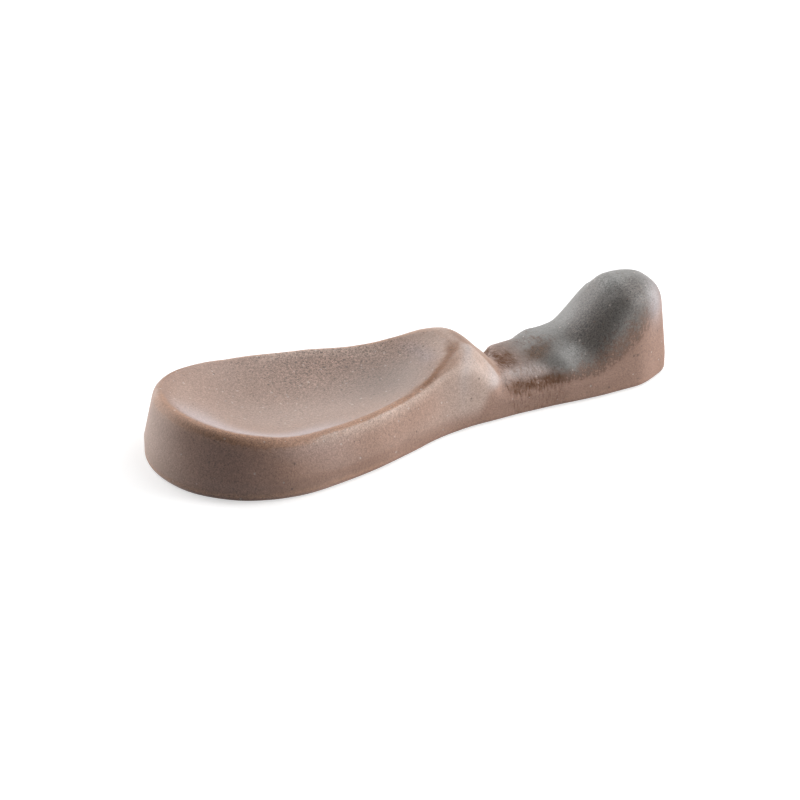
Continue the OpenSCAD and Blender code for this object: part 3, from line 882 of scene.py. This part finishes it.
def glazeFinish(name):
    # Both coats share one finish, so the brown runs into the grey without a seam.
    f = Finish(name)
    place = f.millimetres()
    lengthwise = f.node("ShaderNodeSeparateXYZ", {}, {0: place})
    noise = glazeNoise(f, place)
    coated, hollow, floor = f.mark("greyCoat"), f.mark("insideDish"), f.mark("deepDish")
    thin = f.step(*ramps["thin"], f.mark("glazeBreak") + ragged(noise, "thin"))
    rusty = f.mark("rust")
    rust = f.step(*ramps["rust"], rusty + f.step(*ramps["touched"], rusty) * ragged(noise, "rust"))
    stain = f.step(0, 1, f.mark("stain") * (1 + ragged(noise, "stain")))
    chance = glaze["speckChance"] + glaze["greySpecks"] * coated
    specks = f.spots(place, *glaze["specks"], chance + glaze["farSpecks"] * f.mark("speckled"))
    pits = f.spots(place, *glaze["pits"], glaze["pitChance"] + glaze["dishPits"] * hollow)

    colour = brownColour(f, noise)
    colour = rimColour(f, colour, thin, noise, lengthwise)
    colour = greyColour(f, colour, coated, noise)
    colour = neckColour(f, colour, rust, stain, noise)
    colour = f.blend(specks * strengths["specks"], colour, tones["speck"])
    colour = f.blend(pits * strengths["pits"], colour, tones["pinprick"])
    colour = grainyColour(f, colour, coated, noise)

    height = (noise["grain"] * glaze["grainRelief"] + noise["fine"] * glaze["fineRelief"]
              + noise["mottle"] * glaze["mottleRelief"] - pits * glaze["pitDepth"]
              + specks * glaze["speckRelief"] + noise["streak"] * rust * glaze["rustRelief"])
    brown = glaze["brownRough"]
    wall = (f.step(*glaze["wallDull"], lengthwise) * (1 - hollow)
            * (1 - f.mark("paintedLightFlank") * glaze["flankDull"]))
    roughness = (brown + hollow * (1 - floor) * glaze["wallRough"]
                 + coated * (glaze["greyRough"] - brown) + thin * (glaze["thinRough"] - brown)
                 + rust * (glaze["rustRough"] - brown) + wall * (1 - coated) * glaze["wallRough"]
                 + stain * glaze["stainRough"] + noise["grain"] * glaze["grainRough"])
    # The clear sheen: fullest on the hollow's floor and the grey, least where the glaze is thin or
    # rusty, on the dull spot of painted shade in the dish and on the grey's painted shade
    coat = glaze["coat"] * (glaze["plainCoat"] * (1 - wall) + glaze["floorCoat"] * floor + coated)
    dullShade = glaze["dishDull"] * f.mark("dullShadedDish")
    dark = glaze["darkDull"] * f.step(0, 1, f.mark("paintedShadeGrey"))
    for share in (thin, rust, dullShade, dark, stain):
        coat = coat * (1 - share)
    return f.surface({"Base Color": colour, "Roughness": roughness, "IOR": 1.5, "Coat Weight": coat,
                      "Coat Roughness": glaze["coatRough"]}, height)


# The bare foot: linear colours, and sizes in mm
clay = {"light": (0.36, 0.21, 0.125), "dark": (0.22, 0.12, 0.07), "grain": (0.3, 3.0, 0.65),
        "cloud": (6.0, 3.0), "cloudShare": 0.4, "lightRamp": (0.3, 0.7), "specks": (1.2, 0.16),
        "speckChance": 0.3, "speckStrength": 0.6, "relief": 0.06, "rough": 0.85}


def clayFinish():
    # Fine clouded grain with a few dark specks.
    f = Finish("bareClay")
    place = f.millimetres()
    grain = f.noise(place, *clay["grain"])
    cloud = f.noise(place, *clay["cloud"])
    mixed = grain * (1 - clay["cloudShare"]) + cloud * clay["cloudShare"]
    colour = f.blend(f.step(*clay["lightRamp"], mixed), clay["dark"], clay["light"])
    specks = f.spots(place, *clay["specks"], clay["speckChance"])
    colour = f.blend(specks * clay["speckStrength"], colour, tones["speck"])
    return f.surface({"Base Color": colour, "Roughness": clay["rough"]}, (grain - 0.5) * clay["relief"])


body = clayBody()
body.data.materials.append(clayFinish())
brownCoat = brownGlaze()
brownCoat.data.materials.append(glazeFinish("brownGlaze"))
greyCoat = greyGlaze()
greyCoat.data.materials.append(glazeFinish("greyGlaze"))
print("pieces finished")

# The studio: sizes in metres, angles in degrees; azimuth 0 looks along +Y
studio = {"floorSize": 6.0, "floor": (0.62, 0.62, 0.62), "floorGlow": 0.6, "fill": 0.0,
          "lampDistance": 0.8}
lamps = {
    "rightLow": {"azimuth": 60, "elevation": 11, "width": 0.5, "height": 0.3, "watts": 3.0},
    "rightMiddle": {"azimuth": 69, "elevation": 20, "width": 0.5, "height": 0.5, "watts": 4.1},
    "rightHigh": {"azimuth": 90, "elevation": 62, "width": 0.5, "height": 0.5, "watts": 3.3},
    "backLeft": {"azimuth": 220, "elevation": 11, "width": 0.5, "height": 0.3, "watts": 3.6},
    "back": {"azimuth": 202, "elevation": 28, "width": 0.5, "height": 0.5, "watts": 3.3},
    "backRight": {"azimuth": 164, "elevation": 29, "width": 0.5, "height": 0.4, "watts": 0.8},
}


def directionTo(azimuth, elevation):
    turn, tilt = math.radians(azimuth), math.radians(elevation)
    return Vector((math.sin(turn) * math.cos(tilt), -math.cos(turn) * math.cos(tilt), math.sin(tilt)))


def seenDirectly(tree):
    # 1 for rays from the camera, a mirror or a glass, 0 for those that carry light.
    path = tree.nodes.new("ShaderNodeLightPath")
    total = path.outputs["Is Camera Ray"]
    for label in ("Is Glossy Ray", "Is Transmission Ray"):
        either = tree.nodes.new("ShaderNodeMath")
        either.operation = "MAXIMUM"
        tree.links.new(total, either.inputs[0])
        tree.links.new(path.outputs[label], either.inputs[1])
        total = either.outputs[0]
    return total


def makeFloor():
    # A pale cloth that glows only where it is seen, so that it lights nothing.
    half = studio["floorSize"] / 2
    corners = [(-half, -half, 0), (half, -half, 0), (half, half, 0), (-half, half, 0)]
    mesh = bpy.data.meshes.new("floor")
    mesh.from_pydata(corners, [], [(0, 1, 2, 3)])
    floor = bpy.data.objects.new("floor", mesh)
    scene.collection.objects.link(floor)
    f = Finish("paleFloor")
    cloth = f.node("ShaderNodeBsdfDiffuse", {}, {"Color": studio["floor"]})
    share = Wire(f, seenDirectly(f.tree)) * studio["floorGlow"]
    glow = f.node("ShaderNodeEmission", {}, {"Color": (1.0, 1.0, 1.0), "Strength": share})
    both = f.node("ShaderNodeAddShader", {}, {0: cloth, 1: glow})
    f.node("ShaderNodeOutputMaterial", {}, {"Surface": both})
    mesh.materials.append(f.material)


def makeWorld():
    # White where it is seen, a dim even fill where it lights.
    world = bpy.data.worlds.new("studio")
    world.use_nodes = True
    tree = world.node_tree
    background = tree.nodes["Background"]
    background.inputs["Color"].default_value = (1, 1, 1, 1)
    strength = tree.nodes.new("ShaderNodeMix")
    strength.inputs[2].default_value = studio["fill"]
    strength.inputs[3].default_value = 1
    tree.links.new(seenDirectly(tree), strength.inputs[0])
    tree.links.new(strength.outputs[0], background.inputs["Strength"])
    scene.world = world


def softBox(name, lamp):
    light = bpy.data.lights.new(name, "AREA")
    light.shape = "RECTANGLE"
    light.size, light.size_y = lamp["width"], lamp["height"]
    light.energy = lamp["watts"]
    toLamp = directionTo(lamp["azimuth"], lamp["elevation"])
    box = bpy.data.objects.new(name, light)
    box.matrix_world = (Matrix.Translation(toLamp * studio["lampDistance"])
                        @ toLamp.to_track_quat("Z", "Y").to_matrix().to_4x4())
    scene.collection.objects.link(box)


# The camera: degrees, metres, and its lens and frame in mm; the aims shift it off the rest's middle
camera = {"azimuth": -26.611, "elevation": 26.365, "distance": 0.413194, "lens": 118.855,
          "frameWidth": 36, "aimRight": -0.002314, "aimUp": 0.002205}


def makeCamera():
    turn = math.radians(camera["azimuth"])
    back = directionTo(camera["azimuth"], camera["elevation"])
    right = Vector((math.cos(turn), math.sin(turn), 0))
    up = back.cross(right)
    data = bpy.data.cameras.new("camera")
    data.lens = camera["lens"]
    data.sensor_width = camera["frameWidth"]
    seen = bpy.data.objects.new("camera", data)
    place = right * camera["aimRight"] + up * camera["aimUp"] + back * camera["distance"]
    seen.matrix_world = Matrix.Translation(place) @ Matrix((right, up, back)).transposed().to_4x4()
    scene.collection.objects.link(seen)
    scene.camera = seen


makeFloor()
makeWorld()
for name, lamp in lamps.items():
    softBox(name, lamp)
makeCamera()
scene.view_settings.view_transform = "Standard"
print("studio ready")
